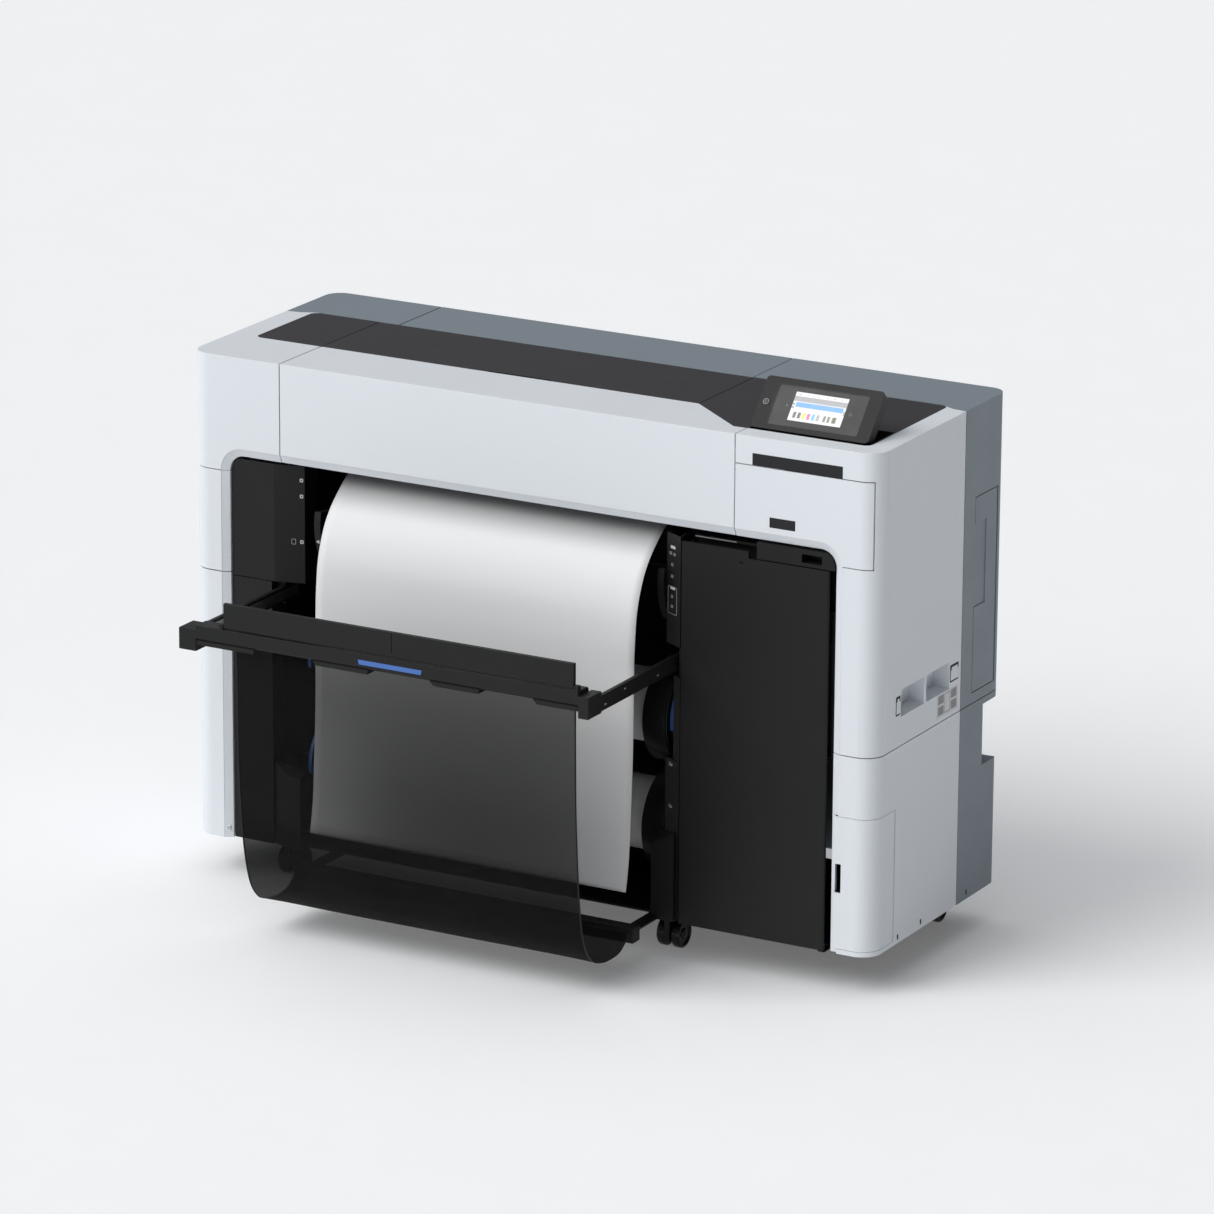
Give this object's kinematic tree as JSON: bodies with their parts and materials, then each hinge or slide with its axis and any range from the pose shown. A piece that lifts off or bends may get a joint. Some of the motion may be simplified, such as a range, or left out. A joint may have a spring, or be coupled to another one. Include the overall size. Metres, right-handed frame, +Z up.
{
  "type": "large format plotter",
  "caption": "Floor-standing roll-fed large format plotter with a hinged top cover, tilting display, two media rolls, an ink bay behind a tall door and a pull-out catch basket.",
  "frame": {"origin": "on the floor, in the middle of the width and of the depth over the body and the pulled-out basket", "axes": "+Z up, -Y out of the front, +X to the right as seen from the front"},
  "size_m": [1.305, 0.77, 0.9997],
  "materials": {
    "white_plastic": "fine grained",
    "slate_plastic": "fine grained",
    "dark_plastic": "satin",
    "black_plastic": "fine grained",
    "screen": "gloss",
    "blue_plastic": "satin",
    "steel": "plated",
    "paper": "matte paper",
    "mesh_cloth": "sheer woven",
    "ink": "moulded",
    "belt": "matte",
    "tread": "matte"
  },
  "bodies": {
    "chassis": {"frame": "steel", "left_cover_upper": "white_plastic", "left_cover_middle": "white_plastic", "left_cover_lower": "white_plastic", "right_cover": "white_plastic", "right_hatch_cover": "white_plastic", "right_cover_lower": "white_plastic", "top_panel_left": "dark_plastic", "top_panel_right": "dark_plastic", "rear_cover_left": "slate_plastic", "rear_cover_middle": "slate_plastic", "rear_cover_right": "slate_plastic", "rear_cover_lower": "slate_plastic", "bay_panel_left": "black_plastic", "bay_post_left": "black_plastic", "bay_post_right": "black_plastic", "ink_bay": "black_plastic", "power_supply": "steel", "platen": "dark_plastic", "carriage_rail": "steel", "carriage_belt": "belt", "basket_rear_bar": "black_plastic", "paper_web": "paper"},
    "front_cover": {"front_cover": "white_plastic", "front_cover_panel": "dark_plastic"},
    "display": {"display_housing": "black_plastic", "display_screen": "screen"},
    "power_button": {"power_button": "black_plastic"},
    "ink_door": {"ink_door": "black_plastic"},
    "corner_door": {"corner_door": "white_plastic"},
    "side_door": {"side_door": "slate_plastic"},
    "cartridge_1": {"ink_cartridge_1": "ink"},
    "cartridge_2": {"ink_cartridge_2": "ink"},
    "cartridge_3": {"ink_cartridge_3": "ink"},
    "cartridge_4": {"ink_cartridge_4": "ink"},
    "cartridge_5": {"ink_cartridge_5": "ink"},
    "cartridge_6": {"ink_cartridge_6": "ink"},
    "maintenance_box": {"maintenance_box": "black_plastic"},
    "feed_roller": {"feed_roller": "steel"},
    "carriage": {"carriage": "black_plastic"},
    "output_guide": {"output_guide": "black_plastic"},
    "roll_upper": {"roll_upper": "paper", "adapters_upper": "black_plastic"},
    "roll_lower": {"roll_lower": "paper", "adapters_lower": "black_plastic"},
    "lever_upper_left": {"lock_lever_upper_left": "blue_plastic"},
    "lever_upper_right": {"lock_lever_upper_right": "blue_plastic"},
    "lever_lower_left": {"lock_lever_lower_left": "blue_plastic"},
    "lever_lower_right": {"lock_lever_lower_right": "blue_plastic"},
    "basket": {"basket_frame": "black_plastic", "basket_cloth": "mesh_cloth"},
    "basket_flap": {"basket_flap": "black_plastic"},
    "caster_front_left": {"caster_front_left": "black_plastic"},
    "wheels_front_left": {"wheels_front_left": "tread"},
    "caster_front_right": {"caster_front_right": "black_plastic"},
    "wheels_front_right": {"wheels_front_right": "tread"},
    "caster_rear_left": {"caster_rear_left": "black_plastic"},
    "wheels_rear_left": {"wheels_rear_left": "tread"},
    "caster_rear_right": {"caster_rear_right": "black_plastic"},
    "wheels_rear_right": {"wheels_rear_right": "tread"}
  },
  "joints": [
    {"name": "front_cover_hinge", "type": "hinge", "parent": "chassis", "child": "front_cover", "pos_m": [0, 0.239, 0.922], "axis": [-1, 0, 0], "range_deg": [0, 60]},
    {"name": "display_tilt", "type": "hinge", "parent": "chassis", "child": "display", "pos_m": [0.5, -0.029, 0.908], "axis": [1, 0, 0], "range_deg": [-35, 5]},
    {"name": "power_button_press", "type": "slide", "parent": "display", "child": "power_button", "axis": [0, 0.7547, -0.6561], "range_m": [0, 0.0015], "stiffness_N_per_m": 600},
    {"name": "ink_door_hinge", "type": "hinge", "parent": "chassis", "child": "ink_door", "pos_m": [0.56, -0.0809, 0.07], "axis": [0, 0, 1], "range_deg": [0, 105]},
    {"name": "corner_door_hinge", "type": "hinge", "parent": "chassis", "child": "corner_door", "pos_m": [0.6499, -0.0092, 0.07], "axis": [0, 0, 1], "range_deg": [0, 100]},
    {"name": "side_door_hinge", "type": "hinge", "parent": "chassis", "child": "side_door", "pos_m": [0.6499, 0.3488, 0.07], "axis": [0, 0, 1], "range_deg": [0, 110]},
    {"name": "cartridge_1_slide", "type": "slide", "parent": "chassis", "child": "cartridge_1", "axis": [0, -1, 0], "range_m": [0, 0.03]},
    {"name": "cartridge_2_slide", "type": "slide", "parent": "chassis", "child": "cartridge_2", "axis": [0, -1, 0], "range_m": [0, 0.03]},
    {"name": "cartridge_3_slide", "type": "slide", "parent": "chassis", "child": "cartridge_3", "axis": [0, -1, 0], "range_m": [0, 0.03]},
    {"name": "cartridge_4_slide", "type": "slide", "parent": "chassis", "child": "cartridge_4", "axis": [0, -1, 0], "range_m": [0, 0.03]},
    {"name": "cartridge_5_slide", "type": "slide", "parent": "chassis", "child": "cartridge_5", "axis": [0, -1, 0], "range_m": [0, 0.03]},
    {"name": "cartridge_6_slide", "type": "slide", "parent": "chassis", "child": "cartridge_6", "axis": [0, -1, 0], "range_m": [0, 0.03]},
    {"name": "maintenance_box_slide", "type": "slide", "parent": "chassis", "child": "maintenance_box", "axis": [0, -1, 0], "range_m": [0, 0.03]},
    {"name": "feed_roller_spin", "type": "hinge", "parent": "chassis", "child": "feed_roller", "pos_m": [0, 0.065, 0.729], "axis": [1, 0, 0], "continuous": true},
    {"name": "carriage_slide", "type": "slide", "parent": "chassis", "child": "carriage", "axis": [-1, 0, 0], "range_m": [0, 0.97]},
    {"name": "output_guide_turn", "type": "hinge", "parent": "chassis", "child": "output_guide", "pos_m": [0, 0.027, 0.65], "axis": [-1, 0, 0], "range_deg": [0, 40]},
    {"name": "roll_upper_spin", "type": "hinge", "parent": "chassis", "child": "roll_upper", "pos_m": [0, 0.033, 0.4], "axis": [1, 0, 0], "continuous": true},
    {"name": "roll_lower_spin", "type": "hinge", "parent": "chassis", "child": "roll_lower", "pos_m": [0, 0.033, 0.21], "axis": [1, 0, 0], "continuous": true},
    {"name": "lever_upper_left_turn", "type": "hinge", "parent": "roll_upper", "child": "lever_upper_left", "pos_m": [0, 0.033, 0.4], "axis": [-1, 0, 0], "range_deg": [0, 45]},
    {"name": "lever_upper_right_turn", "type": "hinge", "parent": "roll_upper", "child": "lever_upper_right", "pos_m": [0, 0.033, 0.4], "axis": [-1, 0, 0], "range_deg": [0, 45]},
    {"name": "lever_lower_left_turn", "type": "hinge", "parent": "roll_lower", "child": "lever_lower_left", "pos_m": [0, 0.033, 0.21], "axis": [-1, 0, 0], "range_deg": [0, 45]},
    {"name": "lever_lower_right_turn", "type": "hinge", "parent": "roll_lower", "child": "lever_lower_right", "pos_m": [0, 0.033, 0.21], "axis": [-1, 0, 0], "range_deg": [0, 45]},
    {"name": "basket_slide", "type": "slide", "parent": "chassis", "child": "basket", "axis": [0, 1, 0], "range_m": [0, 0.19], "deforming": ["basket_cloth"]},
    {"name": "basket_flap_hinge", "type": "hinge", "parent": "basket", "child": "basket_flap", "pos_m": [0, -0.38, 0.556], "axis": [-1, 0, 0], "range_deg": [0, 80]},
    {"name": "swivel_front_left", "type": "hinge", "parent": "chassis", "child": "caster_front_left", "pos_m": [-0.497, -0.025, 0.07], "axis": [0, 0, 1], "continuous": true},
    {"name": "spin_front_left", "type": "hinge", "parent": "caster_front_left", "child": "wheels_front_left", "pos_m": [-0.497, -0.011, 0.025], "axis": [1, 0, 0], "continuous": true},
    {"name": "swivel_front_right", "type": "hinge", "parent": "chassis", "child": "caster_front_right", "pos_m": [0.246, -0.025, 0.07], "axis": [0, 0, 1], "continuous": true},
    {"name": "spin_front_right", "type": "hinge", "parent": "caster_front_right", "child": "wheels_front_right", "pos_m": [0.246, -0.011, 0.025], "axis": [1, 0, 0], "continuous": true},
    {"name": "swivel_rear_left", "type": "hinge", "parent": "chassis", "child": "caster_rear_left", "pos_m": [-0.5605, 0.305, 0.07], "axis": [0, 0, 1], "continuous": true},
    {"name": "spin_rear_left", "type": "hinge", "parent": "caster_rear_left", "child": "wheels_rear_left", "pos_m": [-0.5605, 0.319, 0.025], "axis": [1, 0, 0], "continuous": true},
    {"name": "swivel_rear_right", "type": "hinge", "parent": "chassis", "child": "caster_rear_right", "pos_m": [0.5605, 0.305, 0.07], "axis": [0, 0, 1], "continuous": true},
    {"name": "spin_rear_right", "type": "hinge", "parent": "caster_rear_right", "child": "wheels_rear_right", "pos_m": [0.5605, 0.319, 0.025], "axis": [1, 0, 0], "continuous": true}
  ]
}
